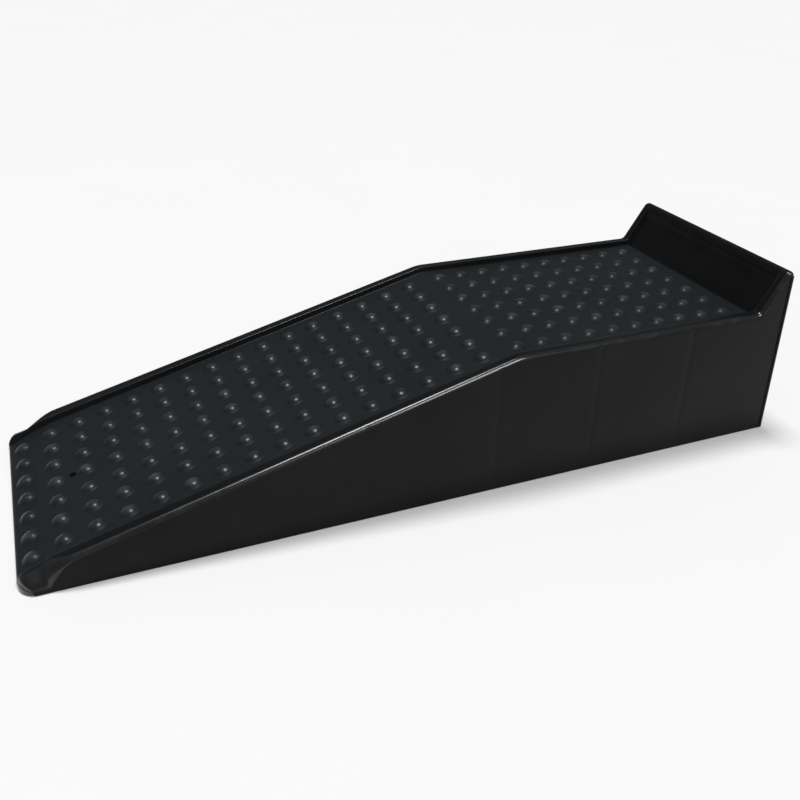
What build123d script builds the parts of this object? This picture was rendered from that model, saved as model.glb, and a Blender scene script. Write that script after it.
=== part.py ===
from build123d import *
from math import asin, cos, degrees, radians, sin, tan
import os

# One-piece drive-on ramp, millimetres. +X runs up the ramp to the wheel stop, +Y is the
# left side of a driver going up it, +Z is up. The origin is the middle of the footprint.
# Heights are measured from the bottom edge of the moulding, which the rubber feet hold
# clear of the ground by foot_projection.

# Overall sizes
length = 914.0
base_width = 299.4
draft = 1.6
nose_corner_radius = 20.0
rear_corner_radius = 4.0

# Side profile of the kerbs
incline_angle = 15.07
platform_height = 165.0
crease_x = 80.0
stop_foot_x = 411.0
stop_angle = 59.0
stop_height = 215.0
toe_angle = 25.0
toe_x = -416.8
nose_radius = 14.0
toe_radius = 200.0
crease_radius = 60.0
stop_foot_radius = 8.0
stop_front_radius = 7.0
stop_rear_radius = 6.0

# Skin
kerb_width = 14.0
kerb_depth = 6.8
kerb_edge_radius = 6.0
toe_edge_height = 20.0
stop_recess = 4.6
deck_thickness = 4.5
wall_thickness = 4.0
deck_nose_radius = 5.0

# Ribs under the deck
rib_thickness = 3.0
incline_rib_pitch = 155.0
platform_rib_pitch = 128.0
first_platform_rib_x = 56.0
spine_offsets = (26.0, 78.0)

# Raised round studs, in rows across the ramp
stud_diameter = 21.0
stud_height = 4.3
stud_rows = 7
stud_row_pitch = 35.1
incline_columns = 16
last_incline_column_x = 54.2
incline_column_pitch = 33.0
platform_columns = 10
first_platform_column_x = 97.0
platform_column_pitch = 32.1
nose_columns = 3

# Peg hole on the centre line of the nose
peg_hole_diameter = 8.0
peg_hole_x = -390.0

# Rubber feet pressed into square sockets
foot_projection = 1.0
foot_head_diameter = 21.0
foot_head_thickness = 4.0
foot_stem_diameter = 12.0
foot_stem_length = 11.5
foot_edge_chamfer = 0.8
socket_size = 24.0
socket_height = 16.0
socket_bore_depth = 12.0

# Derived sizes
half_length = length / 2
half_width = base_width / 2
slope = tan(radians(incline_angle))
incline_normal = (-sin(radians(incline_angle)), 0, cos(radians(incline_angle)))
inner_kerb_y = half_width - platform_height * tan(radians(draft)) - kerb_width
split_x = (
    last_incline_column_x
    - (incline_columns - nose_columns - 0.5) * incline_column_pitch
)
cross_rib_xs = (
    [first_platform_rib_x - i * incline_rib_pitch for i in (3, 2, 1)]
    + [first_platform_rib_x + i * platform_rib_pitch for i in (0, 1, 2)]
)
big = 1200.0


def incline_z(x, drop):
    """Height above x of the plane lying `drop` below the kerb line of the incline."""
    line = platform_height - slope * (crease_x - x)
    return line - drop / cos(radians(incline_angle))


def deck_place(x):
    """Height and slope in degrees of the incline's deck at x, its curved toe included."""
    radius = toe_radius - kerb_depth
    toe = lowered((toe_x, incline_z(toe_x, 0)), toe_angle, kerb_depth)
    incline = lowered((crease_x, platform_height), incline_angle, kerb_depth)
    corner_x, _ = meet(toe, incline)
    tangent = radius * tan(radians(toe_angle - incline_angle) / 2)
    straight_x = corner_x + tangent * cos(radians(incline_angle))
    if x > straight_x:
        return incline_z(x, kerb_depth), incline_angle
    centre_x = straight_x + radius * sin(radians(incline_angle))
    centre_z = incline_z(straight_x, kerb_depth) - radius * cos(radians(incline_angle))
    angle = asin((centre_x - x) / radius)
    return centre_z + radius * cos(angle), degrees(angle)


def lowered(point, angle, drop):
    """A line of the kerb profile moved `drop` into the ramp, as a point and a direction."""
    turn = radians(angle)
    start = (point[0] + drop * sin(turn), point[1] - drop * cos(turn))
    return start, (cos(turn), sin(turn))


def meet(first, second):
    """The point where two lines cross."""
    (ax, az), (au, aw) = first
    (bx, bz), (bu, bw) = second
    reach = ((bx - ax) * bw - (bz - az) * bu) / (au * bw - aw * bu)
    return ax + reach * au, az + reach * aw


def rounded(points, radii):
    """Closed outline through the points, with a radius at each point that names one."""
    sketch = make_face(Polyline(*points, close=True))
    for (x, z), radius in zip(points, radii):
        if radius:
            corner = sketch.vertices().sort_by_distance((x, z, 0))[0]
            sketch = fillet(corner, radius)
    return sketch


def side_profile(drop, stop_drop, front_x, nose_round, rear):
    """Area under a line `drop` inside the kerb line, and `stop_drop` inside the stop's slope.

    rear holds the x of the outline's rear corners, at its top and at its base.
    """
    kink = (crease_x, platform_height)
    front = lowered((front_x, 0), 90, 0)
    toe = lowered((toe_x, incline_z(toe_x, 0)), toe_angle, drop)
    incline = lowered(kink, incline_angle, drop)
    platform = lowered(kink, 0, drop)
    stop = lowered((stop_foot_x, platform_height), stop_angle, stop_drop)
    top = lowered((0, stop_height), 0, drop)
    outline = [front, toe, incline, platform, stop, top]
    corners = [meet(line, after) for line, after in zip(outline, outline[1:])]
    points = [(front_x, 0), *corners, (rear[0], stop_height - drop), (rear[1], 0)]
    at_kerb = drop == 0
    radii = [
        0,
        nose_round,
        toe_radius - drop,
        crease_radius - drop,
        stop_foot_radius,
        stop_front_radius * at_kerb,
        stop_rear_radius * at_kerb,
        0,
    ]
    return rounded(points, radii)


def across(sketch):
    """The side profile carried right across the ramp and past both walls."""
    return extrude(Plane.XZ * sketch, amount=base_width, both=True)


def tapered_block(inset):
    """The ramp's plan, drawn in by `inset`, rising with draft on all four sides."""
    plan = Rectangle(length - 2 * inset, base_width - 2 * inset)
    nose_corners = plan.vertices().filter_by_position(Axis.X, -length, 0)
    plan = fillet(nose_corners, nose_corner_radius - inset)
    rear_corners = plan.vertices().filter_by_position(Axis.X, half_length - inset - 0.1, length)
    plan = fillet(rear_corners, max(rear_corner_radius - inset, 0.5))
    return extrude(plan, amount=stop_height + kerb_width, taper=draft)


def span(x=(-big, big), y=(-big, big), z=(-big, big)):
    """Axis-aligned block between the given limits."""
    middle = [(low + high) / 2 for low, high in (x, y, z)]
    size = [high - low for low, high in (x, y, z)]
    return Pos(*middle) * Box(*size)


def save(name, shape):
    """Write one sub-part, standing on its feet above the ground."""
    placed = Pos(0, 0, foot_projection) * shape
    export_step(placed, f"parts/{name}.step")


def outer_body():
    """Solid envelope of the moulding with the kerbs' round-over along both sides."""
    lean = stop_height * tan(radians(draft))
    rear = (half_length - lean, half_length)
    body = across(side_profile(0, 0, -half_length, nose_radius, rear)) & tapered_block(0)
    side_edges = []
    for edge in body.edges():
        centre = edge.center()
        outside = abs(centre.Y) > half_width - wall_thickness - centre.Z * tan(radians(draft))
        if outside and centre.Z > toe_edge_height and abs((edge % 0.5).X) > 0.3:
            side_edges.append(edge)
    return fillet(side_edges, kerb_edge_radius)


def domed_stud(sunk=0.0):
    """One stud: a spherical cap on its base plane, carried `sunk` below it."""
    radius = stud_diameter / 2
    ball_radius = (radius**2 + stud_height**2) / (2 * stud_height)
    ball = Pos(0, 0, stud_height - ball_radius) * Sphere(ball_radius)
    return ball & span(z=(-sunk, stud_height + 1))


def row_positions():
    """Distances of the stud rows from the centre line."""
    return [(row - (stud_rows - 1) / 2) * stud_row_pitch for row in range(stud_rows)]


os.makedirs("parts", exist_ok=True)

outer = outer_body()
hollow = tapered_block(wall_thickness)
past_rear = (half_length + 20, half_length + 20)
under_top = across(side_profile(kerb_depth, stop_recess, -half_length, deck_nose_radius, past_rear))
skin_drop = kerb_depth + deck_thickness
stop_drop = stop_recess + deck_thickness
under_deck = across(side_profile(skin_drop, stop_drop, -half_length - 20, 0, past_rear))
recess_top = stop_height - kerb_depth
cap_base = stop_height - skin_drop
between_kerbs = span(y=(-inner_kerb_y, inner_kerb_y))

# Deck and stop face
deck_skin = outer & (under_top - under_deck) & between_kerbs
peg_base = (peg_hole_x, 0, incline_z(peg_hole_x, kerb_depth))
peg_hole = Plane(origin=peg_base, z_dir=incline_normal) * Cylinder(peg_hole_diameter / 2, 40)
crease_floor_x = crease_x + skin_drop * tan(radians(incline_angle / 2))
stop_base_x = stop_foot_x - skin_drop / tan(radians(stop_angle))
stop_base_z = platform_height - skin_drop
save("nose_deck", deck_skin & span(x=(-big, split_x)) - peg_hole)
save("incline_deck", deck_skin & span(x=(split_x, crease_floor_x)))
save("platform_deck", deck_skin & span(x=(crease_floor_x, stop_base_x)))
save("wheel_stop_face", deck_skin & span(x=(stop_base_x, big), z=(stop_base_z, cap_base)))

# Bar across the top of the wheel stop
cap_zone = span(x=(stop_base_x, big), z=(cap_base, big))
recess = span(z=(-big, recess_top)) - under_top
cap = (outer - under_deck) & cap_zone & between_kerbs
save("wheel_stop_cap", cap - recess)

# Kerbs, walls and the end walls
sides = {"left": (inner_kerb_y, big), "right": (-big, -inner_kerb_y)}
kerb_skin = outer - under_deck
wall_ring = (outer - hollow) & under_deck
for side, limits in sides.items():
    save(f"{side}_kerb", kerb_skin & span(y=limits))
    save(f"{side}_side_wall", wall_ring & span(y=limits))
save("nose_wall", wall_ring & span(x=(-big, 0), y=(-inner_kerb_y, inner_kerb_y)))
save("rear_wall", wall_ring & span(x=(0, big), y=(-inner_kerb_y, inner_kerb_y)))

# Cross ribs and the four spines between them
cavity = under_deck & hollow
half_rib = rib_thickness / 2
rib_slabs = [span(x=(x - half_rib, x + half_rib)) for x in cross_rib_xs]
for number, slab in enumerate(rib_slabs, start=1):
    save(f"cross_rib_{number}", cavity & slab)
for side, sign in (("left", 1), ("right", -1)):
    for place, offset in zip(("inner", "outer"), spine_offsets):
        centre = sign * offset
        spine = cavity & span(y=(centre - half_rib, centre + half_rib))
        for slab in rib_slabs:
            spine = spine - slab
        save(f"{side}_{place}_spine", spine)

# Studs
flat_stud = domed_stud()
deep_stud = domed_stud(sunk=2)
nose_studs = []
incline_studs = []
for column in range(incline_columns):
    x = last_incline_column_x - (incline_columns - 1 - column) * incline_column_pitch
    height, angle = deck_place(x)
    normal = (-sin(radians(angle)), 0, cos(radians(angle)))
    for y in row_positions():
        place = Plane(origin=(x, y, height), z_dir=normal)
        if column < nose_columns:
            nose_studs.append(place * deep_stud - under_top)
        else:
            incline_studs.append(place * flat_stud)
platform_studs = []
for column in range(platform_columns):
    x = first_platform_column_x + column * platform_column_pitch
    for y in row_positions():
        platform_studs.append(Pos(x, y, platform_height - kerb_depth) * flat_stud)
save("nose_studs", Compound(nose_studs))
save("incline_studs", Compound(incline_studs))
save("platform_studs", Compound(platform_studs))

# Rubber feet in their sockets, in the corners between an outer spine and a cross rib
outer_spine = spine_offsets[1] + half_rib
foot_xs = {
    "front": cross_rib_xs[0] + half_rib + socket_size / 2,
    "middle": cross_rib_xs[3] + half_rib + socket_size / 2,
    "rear": cross_rib_xs[5] + half_rib + socket_size / 2,
}
foot_y = outer_spine + socket_size / 2
head_top = foot_head_thickness - foot_projection
for place, x in foot_xs.items():
    for side, sign in (("left", 1), ("right", -1)):
        spot = Pos(x, sign * foot_y, head_top)
        block = spot * Pos(0, 0, socket_height / 2) * Box(socket_size, socket_size, socket_height)
        bore = spot * Pos(0, 0, socket_bore_depth / 2) * Cylinder(foot_stem_diameter / 2, socket_bore_depth)
        save(f"{place}_{side}_foot_socket", block - bore)
        head = spot * Pos(0, 0, -foot_head_thickness / 2) * Cylinder(foot_head_diameter / 2, foot_head_thickness)
        head = chamfer(head.edges().sort_by(Axis.Z)[0], foot_edge_chamfer)
        stem = spot * Pos(0, 0, foot_stem_length / 2) * Cylinder(foot_stem_diameter / 2, foot_stem_length)
        save(f"{place}_{side}_rubber_foot", head + stem)
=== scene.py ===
"""Drive-on wheel ramp in black moulded plastic, laid out as a Blender add-on."""
from math import cos, pi, radians, sin, tan

import bmesh
import bpy
import numpy as np
from bpy.props import FloatProperty, FloatVectorProperty, IntProperty, PointerProperty
from bpy.types import Operator, Panel, PropertyGroup
from mathutils import Matrix, Vector


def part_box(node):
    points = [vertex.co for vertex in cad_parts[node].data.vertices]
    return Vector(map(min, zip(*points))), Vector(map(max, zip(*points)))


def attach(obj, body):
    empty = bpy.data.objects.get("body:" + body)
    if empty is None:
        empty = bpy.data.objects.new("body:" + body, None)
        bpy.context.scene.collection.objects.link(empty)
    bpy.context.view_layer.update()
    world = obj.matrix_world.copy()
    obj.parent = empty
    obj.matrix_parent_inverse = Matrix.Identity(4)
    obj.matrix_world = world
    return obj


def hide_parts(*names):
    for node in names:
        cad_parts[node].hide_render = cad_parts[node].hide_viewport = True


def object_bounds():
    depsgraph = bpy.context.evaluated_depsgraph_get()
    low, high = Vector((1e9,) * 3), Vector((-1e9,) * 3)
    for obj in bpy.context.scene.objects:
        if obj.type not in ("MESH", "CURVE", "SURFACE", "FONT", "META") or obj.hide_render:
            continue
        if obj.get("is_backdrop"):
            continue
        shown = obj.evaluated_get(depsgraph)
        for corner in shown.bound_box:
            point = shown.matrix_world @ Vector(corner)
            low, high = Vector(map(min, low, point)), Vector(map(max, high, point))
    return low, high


bl_info = {
    "name": "Wheel Ramp",
    "version": (1, 0, 0),
    "blender": (4, 5, 0),
    "location": "View3D > Sidebar > Ramp",
    "description": "Builds a studded drive-on ramp with kerbs, wheel stop, ribs and rubber feet",
    "category": "Object",
}

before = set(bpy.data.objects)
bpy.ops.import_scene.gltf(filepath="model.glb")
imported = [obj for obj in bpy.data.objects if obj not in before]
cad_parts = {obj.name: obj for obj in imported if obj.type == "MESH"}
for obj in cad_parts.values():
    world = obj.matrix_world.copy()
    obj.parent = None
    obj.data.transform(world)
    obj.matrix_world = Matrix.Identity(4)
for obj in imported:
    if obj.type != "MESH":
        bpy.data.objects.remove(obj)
CAD_LOW, CAD_HIGH = (list(corner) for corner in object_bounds())
BODY = "root"
MM = 0.001

# Places read from the frame
BASE_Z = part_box("left_side_wall")[0].z
HALF_LENGTH = CAD_HIGH[0]
HALF_WIDTH = CAD_HIGH[1]
TOP_Z = CAD_HIGH[2]
DECK_LOW, DECK_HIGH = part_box("platform_deck")
STUD_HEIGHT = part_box("platform_studs")[1].z - DECK_HIGH.z

# Small sizes that only keep the surfaces clean
MIN_RADIUS = 0.4 * MM
MIN_BAND = 9 * MM
CLOSE = 0.3 * MM
RIM_STEP = 0.8 * MM
RIM_RISE = 16 * MM
EASE_LENGTH = 60 * MM

# Counts of studs, and where they and the kerbs are rubbed smooth
STUD_ROWS = 7
NOSE_COLUMNS = 3
INCLINE_COLUMNS = 13
PLATFORM_COLUMNS = 10
CROWN_WEAR = (0.9, 0.45, 0.1, 0, 0, 0)
ROUND_COLUMNS = slice(4, 10)
LIP_COLUMNS = slice(13, 16)
ROUND_WEAR = 1.0
LIP_WEAR = 0.6


def lengths(name, text, default, **extra):
    """A length property in metres, with its default in millimetres."""
    return FloatProperty(
        name=name, description=text, default=default * MM, unit="LENGTH", precision=5, **extra
    )


def angles(name, text, default):
    """An angle property, with its default in degrees."""
    return FloatProperty(name=name, description=text, default=radians(default), subtype="ANGLE")


def tints(name, text, default):
    """A colour property."""
    return FloatVectorProperty(
        name=name, description=text, default=default, size=3, subtype="COLOR", min=0, max=1
    )


def amounts(name, text, default, high=1.0):
    """A plain number from zero to high."""
    return FloatProperty(name=name, description=text, default=default, min=0, max=high)


class RampShape(PropertyGroup):
    """Sizes of the moulding."""

    incline_angle: angles("Incline", "Slope of the incline", 15.07)
    toe_angle: angles("Toe", "Slope of the short toe behind the nose", 25.0)
    stop_angle: angles("Stop slope", "Slope of the wheel stop's front", 59.0)
    draft: angles("Draft", "Lean of all outer walls", 1.6)
    toe_length: lengths("Toe corner", "From the nose back to where the incline starts", 40.2)
    kerb_depth: lengths("Kerb depth", "Height of the kerbs above the deck", 6.8)
    stop_recess: lengths("Stop recess", "Depth of the stop's face behind its rim", 4.6)
    skin: lengths("Deck thickness", "Thickness of the deck", 4.5)
    wall: lengths("Wall thickness", "Thickness of the outer walls", 4.0)
    kerb_width: lengths("Kerb width", "Width of a kerb's top on the platform", 13.9)
    kerb_round: lengths("Kerb edge", "Radius of the kerbs' outer edge", 6.0)
    kerb_lip: lengths("Kerb lip", "Radius of the kerbs' inner edge", 1.0)
    kerb_foot: lengths("Kerb foot", "Fillet between a kerb and the deck", 1.5)
    kerb_slant: angles("Kerb slant", "Lean of the kerbs' inner faces", 12.0)
    nose_round: lengths("Nose radius", "Radius of the kerbs over the nose", 14.0)
    deck_nose_round: lengths("Deck nose radius", "Radius of the deck over the nose", 5.0)
    toe_round: lengths("Toe radius", "Radius of the kerbs where the toe meets the incline", 200.0)
    crease_round: lengths("Crease radius", "Radius where the incline meets the platform", 60.0)
    foot_round: lengths("Stop foot radius", "Radius of the kerbs at the foot of the stop", 8.0)
    deck_foot_round: lengths("Deck foot radius", "Radius of the deck at the foot of the stop", 3.0)
    stop_front_round: lengths("Stop front radius", "Radius of the stop's front top edge", 7.0)
    stop_rear_round: lengths("Stop rear radius", "Radius of the stop's rear top edge", 6.0)
    corner_round: lengths("Nose corner", "Plan radius of the nose corners", 20.0)
    rear_round: lengths("Rear corner", "Plan radius of the rear corners", 4.0)
    sink_depth: lengths("Sink depth", "Depth of the sink marks over the cross ribs", 0.5)
    sink_width: lengths("Sink width", "Half width of a sink mark", 2.8)


class StudShape(PropertyGroup):
    """Sizes of the studs."""

    radius: lengths("Radius", "Radius of a stud's dome at the deck", 10.5)
    fillet: lengths("Fillet", "Width of the fillet round a stud", 1.3)
    sides: IntProperty(name="Sides", description="Faces round a stud", default=18, min=8)


class Finish(PropertyGroup):
    """Colours and surface of the plastic and the rubber."""

    plastic: tints("Plastic", "Colour of the smooth plastic", (0.0035, 0.0037, 0.0041))
    tread: tints("Tread", "Colour of the grained plastic on the deck", (0.0085, 0.0112, 0.0128))
    bloom: tints("Bloom", "Colour of the scuffs and the dust", (0.060, 0.064, 0.068))
    rubber: tints("Rubber", "Colour of the feet", (0.016, 0.016, 0.016))
    gloss: amounts("Roughness", "Roughness of the smooth plastic", 0.24)
    tread_gloss: amounts("Tread roughness", "Roughness of the deck's grained plastic", 0.46)
    shine: amounts("Shine", "Specular level of the plastic", 0.10)
    grain: lengths("Grain", "Size of the moulded grain", 0.9)


class StageSettings(PropertyGroup):
    """Floor and lights."""

    floor: tints("Floor", "Colour of the floor", (0.86, 0.86, 0.86))
    key: amounts("Key light", "Strength of the overhead light, in W/m2", 1.7, 100.0)
    fill: amounts("Front light", "Strength of the front light, in W/m2", 1.6, 100.0)
    sky: amounts("Surroundings", "Strength of the pale surroundings", 0.16, 10.0)


def shape():
    """The moulding's sizes in the open scene."""
    return bpy.context.scene.ramp_shape


def studs():
    """The studs' sizes in the open scene."""
    return bpy.context.scene.ramp_studs


def finish():
    """Colours and surfaces in the open scene."""
    return bpy.context.scene.ramp_finish


def stage():
    """Floor and lights in the open scene."""
    return bpy.context.scene.ramp_stage


# ---------------------------------------------------------------------------
# Curves and surfaces
# ---------------------------------------------------------------------------


def lowered(point, angle, drop):
    """A line of the kerb profile moved `drop` into the ramp, as a point and a direction."""
    start = (point[0] + drop * sin(angle), point[1] - drop * cos(angle))
    return start, (cos(angle), sin(angle))


def meet(first, second):
    """The point where two lines cross."""
    (ax, az), (au, aw) = first
    (bx, bz), (bu, bw) = second
    reach = ((bx - ax) * bw - (bz - az) * bu) / (au * bw - aw * bu)
    return ax + reach * au, az + reach * aw


def corner_points(drop, stop_drop):
    """Sharp corners, front to rear, of the line `drop` inside the kerbs' own side profile."""
    s = shape()
    platform_z = DECK_HIGH.z + s.kerb_depth
    reach = s.kerb_depth + s.skin
    crease_x = DECK_LOW.x - reach * tan(s.incline_angle / 2)
    foot_x = DECK_HIGH.x + reach / tan(s.stop_angle)
    toe_x = s.toe_length - HALF_LENGTH
    toe_z = platform_z - (crease_x - toe_x) * tan(s.incline_angle)
    lean = (TOP_Z - drop - BASE_Z) * tan(s.draft)
    outline = [
        ((-HALF_LENGTH, BASE_Z), (0.0, 1.0)),
        lowered((toe_x, toe_z), s.toe_angle, drop),
        lowered((crease_x, platform_z), s.incline_angle, drop),
        lowered((crease_x, platform_z), 0, drop),
        lowered((foot_x, platform_z), s.stop_angle, stop_drop),
        lowered((0, TOP_Z), 0, drop),
    ]
    corners = [meet(line, after) for line, after in zip(outline, outline[1:])]
    rear = [(HALF_LENGTH - lean, TOP_Z - drop), (HALF_LENGTH, BASE_Z)]
    return np.array([(-HALF_LENGTH, BASE_Z), *corners, *rear])


def rounded_path(points, radii, runs, bends):
    """Stations along a line whose corners are arcs: places, and normals to its left.

    Each straight run is cut into equal steps between the tangent points of its two arcs, and
    each arc turns the normal in equal steps about the arc's centre.
    """
    along = np.diff(points, axis=0)
    span = np.linalg.norm(along, axis=1)
    along = along / span[:, None]
    normal = np.stack([-along[:, 1], along[:, 0]], axis=1)
    heading = np.arctan2(along[:, 1], along[:, 0])
    turn = np.diff(heading)
    tangent = np.concatenate([[0], radii * np.abs(np.tan(turn / 2)), [0]])
    places, normals = [], []
    for i in range(len(span)):
        steps = np.linspace(tangent[i], span[i] - tangent[i + 1], runs[i])
        places.append(points[i] + steps[:, None] * along[i])
        normals.append(np.repeat(normal[i][None], runs[i], axis=0))
        if i < len(turn):
            side = -np.sign(turn[i])
            centre = places[-1][-1] - side * radii[i] * normal[i]
            angle = heading[i] + turn[i] * np.linspace(0, 1, bends[i] + 2)[1:-1]
            out = np.stack([-np.sin(angle), np.cos(angle)], axis=1)
            places.append(centre + side * radii[i] * out)
            normals.append(out)
    return np.concatenate(places), np.concatenate(normals)


# Stations on each straight run from the nose's base to the rear's base, and on the arcs between
RUNS = (5, 8, 190, 128, 30, 5, 40)
BENDS = (14, 12, 10, 10, 8, 9)


def kerb_path():
    """Stations of the kerbs' top line, from the nose's base over the stop to the rear's base."""
    s = shape()
    radii = np.array([
        s.nose_round, s.toe_round, s.crease_round, s.foot_round,
        s.stop_front_round, s.stop_rear_round,
    ])
    return rounded_path(corner_points(0, 0), radii, RUNS, BENDS)


def deck_path(depth=0.0):
    """Stations of the deck's line, `depth` under its surface, matched one to one to the kerbs'.

    Up the stop it lies `stop_recess` behind the rim, and rises smoothly to the rim at the top.
    """
    s = shape()
    drop = s.kerb_depth + depth
    points = corner_points(drop, s.stop_recess + depth)
    points[0, 0] += depth
    points[1, 0] += depth
    points[1, 1] += depth * tan(s.toe_angle)
    radii = np.array([
        s.deck_nose_round - depth, s.toe_round - drop, s.crease_round - drop,
        s.deck_foot_round + depth, s.stop_front_round - 4 * MM, s.stop_rear_round - drop,
    ])
    places, normals = rounded_path(points, np.maximum(radii, MIN_RADIUS), RUNS, BENDS)
    rise = (s.stop_recess - RIM_STEP) * smooth(places[:, 1], rim_z() - RIM_RISE, rim_z())
    rise[:run_start(4)] = 0
    return places + normals * rise[:, None], normals


def run_start(index):
    """Number of the first station of the straight run with this index."""
    return sum(RUNS[:index]) + sum(BENDS[:index])


def half_width(z):
    """Half of the ramp's width at height z: the base's, less the walls' draft."""
    return HALF_WIDTH - np.maximum(z - BASE_Z, 0) * tan(shape().draft)


def smooth(value, low, high):
    """Smooth step from 0 at low to 1 at high."""
    t = np.clip((value - low) / (high - low), 0, 1)
    return t * t * (3 - 2 * t)


def rib_lines():
    """Middle of each cross rib along the ramp."""
    boxes = [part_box(f"cross_rib_{number}") for number in range(1, 7)]
    return np.array([(low.x + high.x) / 2 for low, high in boxes])


def sink(x, z):
    """How far the outer wall is drawn in over the cross ribs: a sum of narrow bell curves."""
    s = shape()
    bells = np.exp(-(((x[..., None] - rib_lines()) / s.sink_width) ** 2)).sum(axis=-1)
    return s.sink_depth * bells * smooth(z, BASE_Z, BASE_Z + 25 * MM)


def grid_faces(rows, columns, wrap_rows=False, wrap_columns=False, start=0):
    """Quads of a rows by columns grid of points, counted row by row."""
    i = np.arange(rows if wrap_rows else rows - 1)[:, None]
    j = np.arange(columns if wrap_columns else columns - 1)[None, :]
    i_next = (i + 1) % rows
    j_next = (j + 1) % columns
    corners = [(i, j), (i, j_next), (i_next, j_next), (i_next, j)]
    quads = [row * columns + column for row, column in corners]
    return start + np.stack(np.broadcast_arrays(*quads), axis=-1).reshape(-1, 4)


def make_piece(name, points, faces, material, replaced, sharp=38, wear=None, weld=False):
    """A mesh object from points and faces, shaded smooth between edges under `sharp` degrees."""
    mesh = bpy.data.meshes.new(name)
    faces = [face for group in faces for face in np.asarray(group).tolist()]
    mesh.from_pydata(points.reshape(-1, 3).tolist(), [], faces)
    if wear is not None:
        layer = mesh.attributes.new("wear", "FLOAT", "POINT")
        layer.data.foreach_set("value", wear.reshape(-1).astype(np.float32))
    piece = bpy.data.objects.new(name, mesh)
    bpy.context.scene.collection.objects.link(piece)
    mesh.materials.append(material)
    if weld:
        merge_doubles(mesh)
    mesh.validate()
    mesh.shade_smooth()
    mesh.set_sharp_from_angle(angle=radians(sharp))
    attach(piece, BODY)
    "foot_rubber" if "rubber" in name else "ramp_plastic"
    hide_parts(*replaced)
    return piece


def merge_doubles(mesh):
    """Joins points that lie within a micrometre of each other."""
    work = bmesh.new()
    work.from_mesh(mesh)
    bmesh.ops.remove_doubles(work, verts=work.verts, dist=1e-6)
    work.to_mesh(mesh)
    work.free()


def turned_out(faces, mirror):
    """The same faces, wound the other way where the side is mirrored."""
    return [group[:, ::-1] if mirror else group for group in faces]


# ---------------------------------------------------------------------------
# Kerbs and side walls
# ---------------------------------------------------------------------------


def edge_radius(places, normals):
    """Radius of the kerb's outer edge at each station, and the depth of the kerb's own band.

    Over the nose it starts as the plan radius of the nose corner and keeps the band's lower
    edge upright, then it falls to the kerbs' own radius along the toe. The band stops at the
    base wherever it would run below it.
    """
    s = shape()
    lift = np.maximum(-normals[:, 0], sin(s.toe_angle))
    band = s.nose_round - (s.nose_round - s.corner_round - MM) / lift
    toe_end = places[run_start(2), 0]
    ease = smooth(places[:, 0], places[run_start(1), 0], toe_end)
    radius = (band - MM) * (1 - ease) + s.kerb_round * ease
    radius[run_start(5):] = s.kerb_round
    radius[run_start(6):] = s.rear_round
    band = np.maximum(radius + MM, MIN_BAND)
    to_base = (places[:, 1] - BASE_Z) / np.maximum(normals[:, 1], 0.01)
    over_toe = (normals[:, 1] > 0.01) & (places[:, 0] < toe_end + EASE_LENGTH)
    band = np.where(over_toe, np.minimum(band, to_base), band)
    return np.minimum(radius, band - CLOSE), band


def step_profile():
    """Cross-section of the kerb's inner step, as distance from the centre line and share of depth.

    It is an arc over the lip, a slanted face and a fillet arc onto the deck.
    """
    s = shape()
    lip_y = inner_lip_y()
    steep = pi / 2 - s.kerb_slant
    arc = np.linspace(0, steep, 6)
    lip_out = lip_y - s.kerb_lip * np.sin(arc)
    lip_down = s.kerb_lip * (1 - np.cos(arc))
    foot_down = s.kerb_depth - s.kerb_foot * (1 - np.cos(arc[::-1]))
    face_run = (foot_down[0] - lip_down[-1]) * tan(s.kerb_slant)
    foot_y = lip_out[-1] - face_run - s.kerb_foot * sin(steep)
    foot_out = foot_y + s.kerb_foot * np.sin(arc[::-1])
    across = np.concatenate([lip_out, foot_out])
    share = np.concatenate([lip_down, foot_down]) / s.kerb_depth
    return across, share


def inner_lip_y():
    """Distance from the centre line to the inner edge of a kerb's flat top."""
    s = shape()
    platform_z = DECK_HIGH.z + s.kerb_depth
    return half_width(platform_z) - s.kerb_width


def deck_edge_y():
    """Distance from the centre line to the line where a kerb's fillet reaches the deck."""
    return step_profile()[0][-1]


def rim_z():
    """Height of the lower edge of the bar across the top of the stop."""
    return TOP_Z - shape().kerb_depth


def ledge_station():
    """Station of the kerb line where the stop's recessed face ends under its cap."""
    places, _ = kerb_path()
    last = run_start(5)
    return last - 1 - int(np.argmax(places[:last, 1][::-1] < rim_z()))


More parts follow.
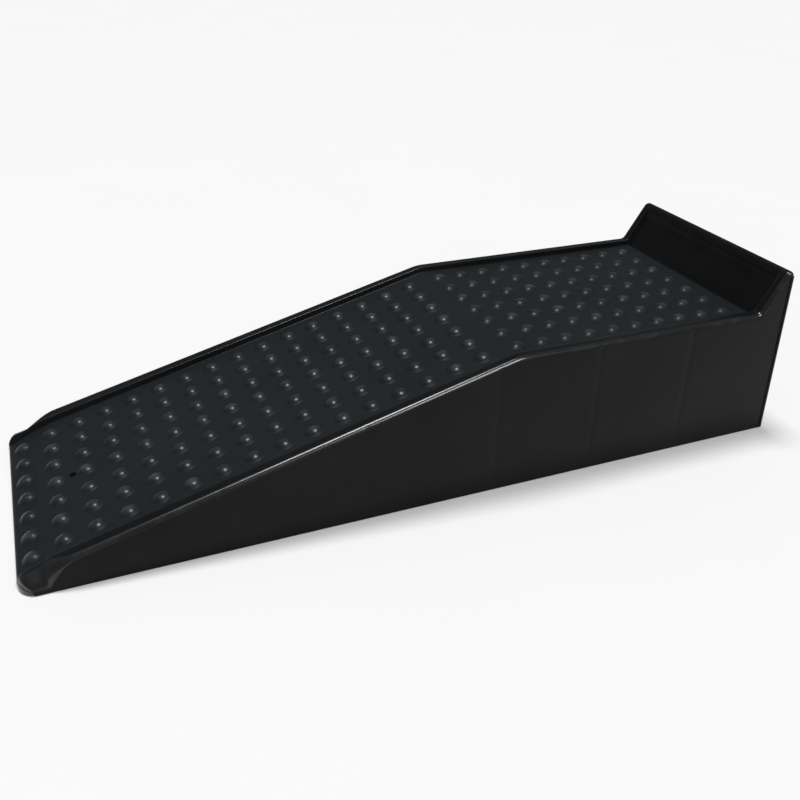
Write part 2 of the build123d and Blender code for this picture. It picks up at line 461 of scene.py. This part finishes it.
def kerb_band(sign):
    """Points of one kerb: a closed cross-section at every station of the kerb line.

    From outside to inside each section runs up the wall, round an arc of the edge radius,
    across the flat top, down the step to the deck, and back underneath.
    """
    places, normals = kerb_path()
    deck, _ = deck_path()
    radius, band = edge_radius(places, normals)
    count = len(places)
    step = np.where(np.arange(count) <= ledge_station(), 1.0, 0.0)
    toward_deck = (deck - places) * step[:, None]
    lip_y = inner_lip_y()
    room = half_width(places[:, 1]) - lip_y
    cut = np.minimum(radius, room - MIN_RADIUS)
    last_angle = np.arccos(np.clip(1 - cut / radius, -1, 1))
    wall = band[:, None] + (radius - band)[:, None] * np.linspace(0, 1, 3)[None]
    swing = last_angle[:, None] * np.linspace(0, 1, 9)[None, 1:]
    arc_in = radius[:, None] * (1 - np.sin(swing))
    arc_across = radius[:, None] * (1 - np.cos(swing))
    flat_across = cut[:, None] + (room - cut)[:, None] * np.array([0.35, 0.7])[None]
    across, share = step_profile()

    depth_in = np.concatenate([wall, arc_in], axis=1)
    from_side = np.concatenate([np.zeros_like(wall), arc_across], axis=1)
    outer = places[:, None] - normals[:, None] * depth_in[..., None]
    fade = np.concatenate([np.ones(3), np.linspace(1, 0, 9)[1:]])
    outer_y = half_width(outer[..., 1]) - from_side - sink(outer[..., 0], outer[..., 1]) * fade

    step_from_side = half_width(places[:, 1])[:, None] - across[None]
    inner_from_side = np.concatenate([flat_across, step_from_side], axis=1)
    inner_share = np.concatenate([np.zeros(2), share])
    short = np.clip(radius[:, None] - inner_from_side, 0, None)
    round_in = radius[:, None] - np.sqrt(radius[:, None] ** 2 - short**2)
    inner = places[:, None] - normals[:, None] * round_in[..., None]
    inner = inner + toward_deck[:, None] * inner_share[None, :, None]
    inner_y = half_width(places[:, 1])[:, None] - inner_from_side

    under = places[:, None] - normals[:, None] * band[:, None, None]
    under_y = np.full((count, 1), across[-1])
    plane = np.concatenate([outer, inner, under], axis=1)
    y = np.concatenate([outer_y, inner_y, under_y], axis=1)
    return np.stack([plane[..., 0], sign * y, plane[..., 1]], axis=-1)


def build_kerb(side, sign):
    """One kerb, from the nose's base over the stop to the rear's base, closed at both ends."""
    points = kerb_band(sign)
    rows, columns = points.shape[:2]
    faces = [grid_faces(rows, columns, wrap_columns=True)]
    caps = [np.arange(columns)[None, ::-1], ((rows - 1) * columns + np.arange(columns))[None]]
    faces = turned_out(faces + caps, sign > 0)
    wear = np.zeros((rows, columns))
    wear[:, ROUND_COLUMNS] = ROUND_WEAR
    wear[:, LIP_COLUMNS] = LIP_WEAR
    name = f"{side}_kerb"
    return make_piece(name, points, faces, plastic_material(), [name], wear=wear)


def wall_outline():
    """Top and base lines of a side wall's outer face, matched point to point."""
    places, normals = kerb_path()
    _, band = edge_radius(places, normals)
    edge = places - normals * band[:, None]
    on_base = edge[:run_start(3), 1] < BASE_Z + CLOSE
    first, last = int(np.flatnonzero(on_base)[-1]), run_start(6)
    top = edge[first:last + 1].copy()
    top[0, 1] = BASE_Z
    rear_base = edge[-1, 0]
    lean = smooth(top[:, 0], top[-1, 0] - EASE_LENGTH, top[-1, 0])
    base_x = top[:, 0] + (rear_base - top[-1, 0]) * lean
    return top, base_x


def build_side_wall(side, sign):
    """One side wall: two upright sheets, `wall` apart, between the base and the kerb's band.

    Rows share the height evenly, and columns stand at the kerb line's stations. The outer
    sheet leans in with the draft and is drawn in over the ribs.
    """
    s = shape()
    top, base_x = wall_outline()
    rows = 26
    rise = np.linspace(0, 1, rows)[:, None]
    x = base_x[None] + (top[:, 0] - base_x)[None] * rise
    z = BASE_Z + (top[:, 1] - BASE_Z)[None] * rise
    outer_y = half_width(z) - sink(x, z)
    inner_y = half_width(z) - s.wall
    outer = np.stack([x, sign * outer_y, z], axis=-1)
    inner = np.stack([x, sign * inner_y, z], axis=-1)
    columns = x.shape[1]
    sheet = grid_faces(rows, columns)
    count = rows * columns
    back = sheet[:, ::-1] + count
    index = np.arange(count).reshape(rows, columns)
    loop = np.concatenate([index[0], index[1:, -1], index[-1, -2::-1], index[-2:0:-1, 0]])
    after = np.roll(loop, -1)
    rim = np.stack([after, loop, loop + count, after + count], axis=1)
    points = np.concatenate([outer.reshape(-1, 3), inner.reshape(-1, 3)])
    faces = turned_out([sheet, back, rim], sign > 0)
    name = f"{side}_side_wall"
    wear = np.zeros(2 * count)
    return make_piece(name, points, faces, plastic_material(), [name], wear=wear, weld=True)


# ---------------------------------------------------------------------------
# Deck, wheel stop and end walls
# ---------------------------------------------------------------------------


def bar(name, section, columns, tread=False):
    """A closed section carried straight across the ramp between the kerbs."""
    edge = deck_edge_y()
    y = np.linspace(-edge, edge, columns)
    rows = len(section)
    points = np.empty((rows, columns, 3))
    points[..., 0] = section[:, None, 0]
    points[..., 1] = y[None]
    points[..., 2] = section[:, None, 1]
    side = grid_faces(rows, columns, wrap_rows=True)
    first = np.arange(rows) * columns
    last = first[::-1] + columns - 1
    wear = np.zeros((rows, columns))
    faces = [side, first[None], last[None]]
    return make_piece(name, points, faces, plastic_material(tread), [name], wear=wear)


def plate(name, surface, under, columns=49, tread=False):
    """A plate across the ramp, its section lying between two matched lines."""
    return bar(name, np.concatenate([surface, under[::-1]]), columns, tread)


def cut_start(line, x):
    """The part of a line past x, with its first point moved onto x."""
    past = line[line[:, 0] > x]
    before = line[len(line) - len(past) - 1]
    share = (x - before[0]) / (past[0, 0] - before[0])
    return np.concatenate([(before + (past[0] - before) * share)[None], past])


def build_decks():
    """Incline and platform decks and the stop's face, along one line of stations.

    The nose deck keeps its CAD shape, with the peg hole through it.
    """
    surface, _ = deck_path()
    under, _ = deck_path(shape().skin)
    crease = (run_start(2) + RUNS[2] + run_start(3)) // 2
    foot = run_start(4) - BENDS[3]
    ledge = ledge_station()
    split_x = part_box("nose_deck")[1].x
    incline = [cut_start(line[:crease + 1], split_x) for line in (surface, under)]
    rows = min(len(line) for line in incline)
    incline = [np.concatenate([line[:1], line[1 - rows:]]) for line in incline]
    platform = [line[crease:foot + 1] for line in (surface, under)]
    face = [
        np.concatenate([line[foot:ledge], seat[None]])
        for line, seat in zip((surface, under), cap_seats())
    ]
    plate("incline_deck", *incline, tread=True)
    plate("platform_deck", *platform, tread=True)
    plate("wheel_stop_face", *face)


def cap_seats():
    """Where the upper and lower sides of the stop's face run into the cap."""
    s = shape()
    places, normals = kerb_path()
    ledge = ledge_station()
    inward = -normals[ledge]
    along = np.array([normals[ledge][1], -normals[ledge][0]])
    rim = places[ledge] + along * MM
    return rim + inward * RIM_STEP, rim + inward * (RIM_STEP + s.skin)


def build_stop_cap():
    """Bar across the top of the stop: the kerb line over the top, closed by a flat underside."""
    s = shape()
    places, normals = kerb_path()
    ledge = ledge_station()
    inward = -normals[ledge]
    low = places[ledge] + inward * (s.stop_recess + s.skin)
    rear_first = run_start(6)
    below = rear_first + int(np.argmax(places[rear_first:, 1] < low[1]))
    outline = places[ledge:below]
    heel = np.array([outline[-1][0] - s.wall, low[1]])
    rear = np.array([outline[-1][0], low[1]])
    bar("wheel_stop_cap", np.concatenate([outline, [rear, heel, low]]), columns=25)


def build_rear_wall():
    """Upright plate that closes the ramp behind the stop, leaning in with the draft.

    Its upper edge is carried on by most of a step, up to the cap.
    """
    places, normals = kerb_path()
    first = run_start(6)
    top_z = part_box("rear_wall")[1].z
    line = places[first:][places[first:, 1] < top_z]
    line = np.concatenate([[line[0] + (line[0] - line[1]) * 0.9], line])
    inner = line - normals[-1] * shape().wall
    plate("rear_wall", line, inner, columns=25)


# ---------------------------------------------------------------------------
# Studs and feet
# ---------------------------------------------------------------------------


def stud_profile():
    """Radius and height of a stud's rings: a spherical cap that runs out in a fillet."""
    s = studs()
    cap = (s.radius**2 + STUD_HEIGHT**2) / (2 * STUD_HEIGHT)
    ring = s.radius * np.array([0.3, 0.58, 0.8, 0.94])
    height = STUD_HEIGHT - cap + np.sqrt(cap**2 - ring**2)
    ring = np.append(ring, [s.radius + 0.25 * s.fillet, s.radius + s.fillet])
    height = np.append(height, [0.12 * STUD_HEIGHT * 0.6, -0.03 * MM])
    return ring, height


def deck_under(x):
    """Height and slope angle of the deck's surface at each x."""
    surface, normals = deck_path()
    last = run_start(4)
    z = np.interp(x, surface[:last, 0], surface[:last, 1])
    lean = np.interp(x, surface[:last, 0], np.arctan2(-normals[:last, 0], normals[:last, 1]))
    return z, lean


def build_studs():
    """All studs: one cap profile turned about each stud's own axis, square to the deck.

    Columns and rows are evenly spaced inside the boxes of the three stud nodes.
    """
    s = studs()
    ring, height = stud_profile()
    angle = np.arange(s.sides) * 2 * pi / s.sides
    dome_x = ring[:, None] * np.cos(angle)[None]
    dome_y = ring[:, None] * np.sin(angle)[None]
    dome_z = np.repeat(height[:, None], s.sides, axis=1)
    dome = np.stack([dome_x, dome_y, dome_z], axis=-1).reshape(-1, 3)
    dome = np.concatenate([[[0, 0, STUD_HEIGHT]], dome])
    step = np.arange(s.sides)
    fan = np.stack([np.zeros(s.sides, int), 1 + step, 1 + (step + 1) % s.sides], axis=1)
    quads = grid_faces(len(ring), s.sides, wrap_columns=True, start=1)[:, ::-1]
    incline = slope_columns()
    low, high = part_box("platform_studs")
    level = np.linspace(low.x + s.radius, high.x - s.radius, PLATFORM_COLUMNS)
    rows = np.linspace(low.y + s.radius, high.y - s.radius, STUD_ROWS)
    columns = {
        "nose_studs": incline[:NOSE_COLUMNS],
        "incline_studs": incline[NOSE_COLUMNS:],
        "platform_studs": level,
    }
    wear = np.concatenate([[1.0], np.repeat(np.array(CROWN_WEAR), s.sides)])
    for name, x_places in columns.items():
        x, y = (part.reshape(-1) for part in np.meshgrid(x_places, rows, indexing="ij"))
        z, lean = deck_under(x)
        along = np.stack([np.cos(lean), np.zeros_like(x), np.sin(lean)], axis=-1)
        up = np.stack([-np.sin(lean), np.zeros_like(x), np.cos(lean)], axis=-1)
        centre = np.stack([x, y, z], axis=-1)
        points = (
            centre[:, None]
            + dome[None, :, 0, None] * along[:, None]
            + dome[None, :, 1, None] * np.array([0.0, 1.0, 0.0])
            + dome[None, :, 2, None] * up[:, None]
        )
        shift = np.arange(len(x))[:, None, None] * len(dome)
        faces = [(fan[None] + shift).reshape(-1, 3), (quads[None] + shift).reshape(-1, 4)]
        make_piece(
            name, points, faces, plastic_material(tread=True), [name],
            wear=np.tile(wear, len(x)), sharp=75,
        )


def slope_columns():
    """The incline's stud columns: evenly spaced along the ramp, the nose's included."""
    low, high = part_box("incline_studs")
    reach = studs().radius * cos(shape().incline_angle)
    first, last = low.x + reach, high.x - reach
    pitch = (last - first) / (INCLINE_COLUMNS - 1)
    return first + pitch * np.arange(-NOSE_COLUMNS, INCLINE_COLUMNS)


def build_feet():
    """Rubber feet: one profile turned about each foot's axis, with a grooved sole."""
    turned = np.array([
        (0.0, 0.6), (2.4, 0.6), (2.9, 0.1), (3.4, 0.0), (5.2, 0.0), (5.7, 0.5), (6.2, 0.5),
        (6.7, 0.0), (9.6, 0.0), (10.2, 0.2), (10.5, 0.8), (10.5, 3.5), (10.2, 3.9), (9.8, 4.0),
        (6.0, 4.0), (6.0, 15.0), (5.5, 15.5), (0.0, 15.5),
    ]) * MM
    sides = 40
    angle = np.arange(sides) * 2 * pi / sides
    body = np.stack([
        turned[1:-1, None, 0] * np.cos(angle), turned[1:-1, None, 0] * np.sin(angle),
        np.repeat(turned[1:-1, None, 1], sides, axis=1),
    ], axis=-1).reshape(-1, 3)
    poles = np.array([[0, 0, turned[0, 1]], [0, 0, turned[-1, 1]]])
    points = np.concatenate([body, poles])
    rings = len(turned) - 2
    quads = grid_faces(rings, sides, wrap_columns=True)
    step = np.arange(sides)
    after = (step + 1) % sides
    sole = np.stack([np.full(sides, rings * sides), after, step], axis=1)
    last = (rings - 1) * sides
    crown = np.stack([np.full(sides, rings * sides + 1), last + step, last + after], axis=1)
    for place in ("front", "middle", "rear"):
        for side in ("left", "right"):
            name = f"{place}_{side}_rubber_foot"
            low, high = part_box(name)
            centre = np.array([(low.x + high.x) / 2, (low.y + high.y) / 2, low.z])
            make_piece(name, points + centre, [quads, sole, crown], rubber_material(), [name])


# ---------------------------------------------------------------------------
# Materials
# ---------------------------------------------------------------------------


class Wire:
    """A shader socket on which Python's operators add Math nodes."""

    def __init__(self, tree, socket):
        self.tree = tree
        self.socket = socket

    def _math(self, operation, *values):
        """One Math node over this socket and the given values."""
        return self.tree.add("ShaderNodeMath", {"operation": operation}, *values)["Value"]

    def __add__(self, other):
        return self._math("ADD", self, other)

    def __radd__(self, other):
        return self._math("ADD", other, self)

    def __sub__(self, other):
        return self._math("SUBTRACT", self, other)

    def __rsub__(self, other):
        return self._math("SUBTRACT", other, self)

    def __mul__(self, other):
        return self._math("MULTIPLY", self, other)

    def __rmul__(self, other):
        return self._math("MULTIPLY", other, self)

    def __pow__(self, other):
        return self._math("POWER", self, other)


class Shader:
    """A material's node tree, with one method that adds any node."""

    def __init__(self, name):
        self.material = bpy.data.materials.new(name)
        self.material.use_nodes = True
        self.nodes = self.material.node_tree.nodes
        self.links = self.material.node_tree.links
        self.nodes.clear()
        self.count = 0

    def add(self, kind, settings, *values, **named):
        """A node of this kind, its settings made first, then its sockets by place or by name."""
        node = self.nodes.new(kind)
        node.location = (200 * (self.count % 12), -260 * (self.count // 12))
        self.count += 1
        for key, value in settings.items():
            if key == "stops":
                self._stops(node.color_ramp, value)
            else:
                setattr(node, key, value)
        for index, value in enumerate(values):
            self._fill(node.inputs[index], value)
        for key, value in named.items():
            self._fill(node.inputs[key.replace("_", " ")], value)
        return {output.name: Wire(self, output) for output in node.outputs if output.enabled}

    def _stops(self, ramp, stops):
        while len(ramp.elements) < len(stops):
            ramp.elements.new(0.5)
        for element, (place, value) in zip(ramp.elements, stops):
            element.position = place
            element.color = (value, value, value, 1)

    def _fill(self, socket, value):
        if isinstance(value, Wire):
            self.links.new(value.socket, socket)
        elif value is not None:
            socket.default_value = value

    def noise(self, place, scale, detail=3.0, roughness=0.5):
        """Smooth noise on a place, from 0 to 1."""
        return self.add(
            "ShaderNodeTexNoise", {}, Vector=place, Scale=scale, Detail=detail, Roughness=roughness
        )["Fac"]

    def ramp(self, value, stops):
        """A value carried through a ramp of (place, value) stops."""
        return self.add("ShaderNodeValToRGB", {"stops": stops}, Fac=value)["Color"]

    def blend(self, factor, first, second):
        """Two colours mixed by a factor, in the Mix node's colour sockets."""
        numbers_and_vectors = [None] * 5
        sockets = [factor, *numbers_and_vectors, first, second]
        return self.add("ShaderNodeMix", {"data_type": "RGBA"}, *sockets)["Result"]


def colour(values):
    """A colour property as a shader colour."""
    return (*values, 1.0)


def plastic_material(tread=False):
    """Black moulded plastic: fine grain, faint flow bands, faint patches of dust, scuffs on the
    highs.

    The deck's tread is the same plastic with a coarser, paler and duller grain.
    """
    name = "tread plastic" if tread else "ramp plastic"
    if name in bpy.data.materials:
        return bpy.data.materials[name]
    f = finish()
    tint, gloss, relief, marks, polish = f.plastic, f.gloss, 0.08, 0.12, 1.0
    if tread:
        tint, gloss, relief, marks, polish = f.tread, f.tread_gloss, 0.22, 0.5, 0.8
    s = Shader(name)
    place = s.add("ShaderNodeTexCoord", {})["Object"]
    wear = s.add("ShaderNodeAttribute", {"attribute_name": "wear"})["Fac"]
    grain = s.noise(place, 1 / f.grain, 2.0, 0.6)
    cloud = s.noise(place, 9.0, 3.0, 0.55)
    patch = s.noise(place, 42.0, 4.0, 0.6)
    stretched = s.add("ShaderNodeMapping", {}, Vector=place, Scale=(14.0, 160.0, 160.0))["Vector"]
    drag = s.noise(stretched, 6.0, 3.0, 0.6)
    scuff = s.ramp(patch, [(0.46, 0.0), (0.66, 1.0)]) * wear
    scratch = s.ramp(drag, [(0.60, 0.0), (0.72, 1.0)]) * s.ramp(cloud, [(0.4, 0.0), (0.7, 1.0)])
    light = scuff * marks + scratch * 0.16 + cloud * 0.12
    base = s.blend(light, colour(tint), colour(f.bloom))
    rough = gloss + cloud * 0.08 + patch * 0.05 + scuff * 0.10 + scratch * 0.05 - 0.06
    height = grain * 0.35 + patch * 0.4 + scratch * 0.15
    bump = s.add("ShaderNodeBump", {}, Strength=relief, Distance=0.0004, Height=height)["Normal"]
    skin = s.add(
        "ShaderNodeBsdfPrincipled", {}, Base_Color=base, Roughness=rough, IOR=1.5, Normal=bump,
        Specular_IOR_Level=f.shine, Coat_Weight=wear * polish, Coat_Roughness=0.22,
    )["BSDF"]
    s.add("ShaderNodeOutputMaterial", {}, Surface=skin)
    return s.material


def rubber_material():
    """Black rubber: coarse matt grain with a dusty sole."""
    if "foot rubber" in bpy.data.materials:
        return bpy.data.materials["foot rubber"]
    f = finish()
    s = Shader("foot rubber")
    place = s.add("ShaderNodeTexCoord", {})["Object"]
    dust = s.noise(place, 120.0, 4.0, 0.6)
    grain = s.noise(place, 1400.0, 2.0, 0.6)
    base = s.blend(s.ramp(dust, [(0.45, 0.0), (0.75, 0.5)]), colour(f.rubber), colour(f.bloom))
    bump = s.add("ShaderNodeBump", {}, Strength=0.25, Distance=0.0005, Height=grain)["Normal"]
    skin = s.add(
        "ShaderNodeBsdfPrincipled", {}, Base_Color=base, Roughness=dust * 0.15 + 0.68, Normal=bump
    )["BSDF"]
    s.add("ShaderNodeOutputMaterial", {}, Surface=skin)
    return s.material


def dress_cad_nodes():
    """Gives the plastic to the nodes that keep their CAD shape."""
    kept = ("rib", "spine", "socket", "nose_wall", "nose_deck")
    for name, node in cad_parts.items():
        if any(word in name for word in kept):
            node.data.materials.clear()
            node.data.materials.append(plastic_material(tread=name == "nose_deck"))


# ---------------------------------------------------------------------------
# Stage
# ---------------------------------------------------------------------------


def soft_light(name, toward, spread, strength):
    """An even light from far away, from the direction `toward`, as wide as `spread`."""
    data = bpy.data.lights.new(name, "SUN")
    data.angle = spread
    data.energy = strength
    light = bpy.data.objects.new(name, data)
    bpy.context.scene.collection.objects.link(light)
    light.rotation_euler = (-Vector(toward)).to_track_quat("-Z", "Y").to_euler()
    return light


def build_floor():
    """Pale floor under the whole object."""
    c = stage()
    half = 20.0
    corners = [(-half, -half, 0), (half, -half, 0), (half, half, 0), (-half, half, 0)]
    mesh = bpy.data.meshes.new("floor")
    mesh.from_pydata(corners, [], [(0, 1, 2, 3)])
    s = Shader("floor")
    place = s.add("ShaderNodeTexCoord", {})["Object"]
    tone = s.noise(place, 3.0, 2.0, 0.5)
    paler = tuple(min(1.0, part * 1.02) for part in c.floor)
    base = s.blend(tone, colour(c.floor), colour(paler))
    skin = s.add("ShaderNodeBsdfPrincipled", {}, Base_Color=base, Roughness=0.9)["BSDF"]
    s.add("ShaderNodeOutputMaterial", {}, Surface=skin)
    mesh.materials.append(s.material)
    floor = bpy.data.objects.new("floor", mesh)
    bpy.context.scene.collection.objects.link(floor)
    floor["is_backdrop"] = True


def build_camera():
    """Camera at the height and side from which such a ramp is usually shown."""
    place = Vector((-0.3726, -0.8617, 0.597 + BASE_Z))
    forward = Vector((0.3431, 0.7925, -0.5042)).normalized()
    up = Vector((0.1726, 0.4744, 0.8632))
    data = bpy.data.cameras.new("camera")
    data.sensor_width = 36.0
    data.lens = 39.25
    data.clip_start = 0.01
    camera = bpy.data.objects.new("camera", data)
    bpy.context.scene.collection.objects.link(camera)
    right = forward.cross(up).normalized()
    up = right.cross(forward)
    turn = Matrix((right, up, -forward)).transposed().to_4x4()
    camera.matrix_world = Matrix.Translation(place) @ turn
    bpy.context.scene.camera = camera


def build_world():
    """Even pale surroundings, shown without any film-like softening."""
    bpy.context.scene.view_settings.view_transform = "Standard"
    world = bpy.data.worlds.new("studio")
    world.use_nodes = True
    ground = world.node_tree.nodes["Background"]
    ground.inputs["Color"].default_value = (1, 1, 1, 1)
    ground.inputs["Strength"].default_value = stage().sky
    bpy.context.scene.world = world


# ---------------------------------------------------------------------------
# Operators and panel
# ---------------------------------------------------------------------------


class RAMP_OT_kerbs(Operator):
    """Build the two kerbs"""

    bl_idname = "ramp.kerbs"
    bl_label = "Kerbs"

    def execute(self, context):
        for side, sign in (("left", 1), ("right", -1)):
            build_kerb(side, sign)
        return {"FINISHED"}


class RAMP_OT_walls(Operator):
    """Build the side walls and the rear wall"""

    bl_idname = "ramp.walls"
    bl_label = "Walls"

    def execute(self, context):
        for side, sign in (("left", 1), ("right", -1)):
            build_side_wall(side, sign)
        build_rear_wall()
        return {"FINISHED"}


class RAMP_OT_decks(Operator):
    """Build the incline and platform decks and the wheel stop"""

    bl_idname = "ramp.decks"
    bl_label = "Decks and wheel stop"

    def execute(self, context):
        build_decks()
        build_stop_cap()
        return {"FINISHED"}


class RAMP_OT_studs(Operator):
    """Build the studs"""

    bl_idname = "ramp.studs"
    bl_label = "Studs"

    def execute(self, context):
        build_studs()
        return {"FINISHED"}


class RAMP_OT_underside(Operator):
    """Build the rubber feet and finish the ribs and sockets"""

    bl_idname = "ramp.underside"
    bl_label = "Underside"

    def execute(self, context):
        build_feet()
        dress_cad_nodes()
        return {"FINISHED"}


class RAMP_OT_stage(Operator):
    """Build the floor, lights, surroundings and camera"""

    bl_idname = "ramp.stage"
    bl_label = "Stage"

    def execute(self, context):
        c = stage()
        build_floor()
        build_world()
        soft_light("key", (-0.1, 0.2, 1.0), radians(16), c.key)
        soft_light("front", (0.2, -0.66, 1.0), radians(24), c.fill)
        build_camera()
        return {"FINISHED"}


class RAMP_PT_panel(Panel):
    """Lists the ramp's builders"""

    bl_label = "Wheel Ramp"
    bl_idname = "RAMP_PT_panel"
    bl_space_type = "VIEW_3D"
    bl_region_type = "UI"
    bl_category = "Ramp"

    def draw(self, context):
        for builder in BUILDERS:
            self.layout.operator(builder.bl_idname)
        for group in SETTINGS:
            settings = getattr(context.scene, group)
            for key in settings.__annotations__:
                self.layout.prop(settings, key)


SETTINGS = {
    "ramp_shape": RampShape,
    "ramp_studs": StudShape,
    "ramp_finish": Finish,
    "ramp_stage": StageSettings,
}
BUILDERS = (
    RAMP_OT_kerbs, RAMP_OT_walls, RAMP_OT_decks, RAMP_OT_studs, RAMP_OT_underside, RAMP_OT_stage,
)


def register():
    """Registers the settings, the builders and the panel."""
    for name, group in SETTINGS.items():
        bpy.utils.register_class(group)
        setattr(bpy.types.Scene, name, PointerProperty(type=group))
    for item in (*BUILDERS, RAMP_PT_panel):
        bpy.utils.register_class(item)


def unregister():
    """Takes back what register did."""
    for item in (RAMP_PT_panel, *reversed(BUILDERS)):
        bpy.utils.unregister_class(item)
    for name, group in reversed(SETTINGS.items()):
        delattr(bpy.types.Scene, name)
        bpy.utils.unregister_class(group)


def main():
    """Builds the whole ramp and its stage."""
    register()
    for builder in BUILDERS:
        group, action = builder.bl_idname.split(".")
        getattr(getattr(bpy.ops, group), action)()


if __name__ == "__main__":
    main()
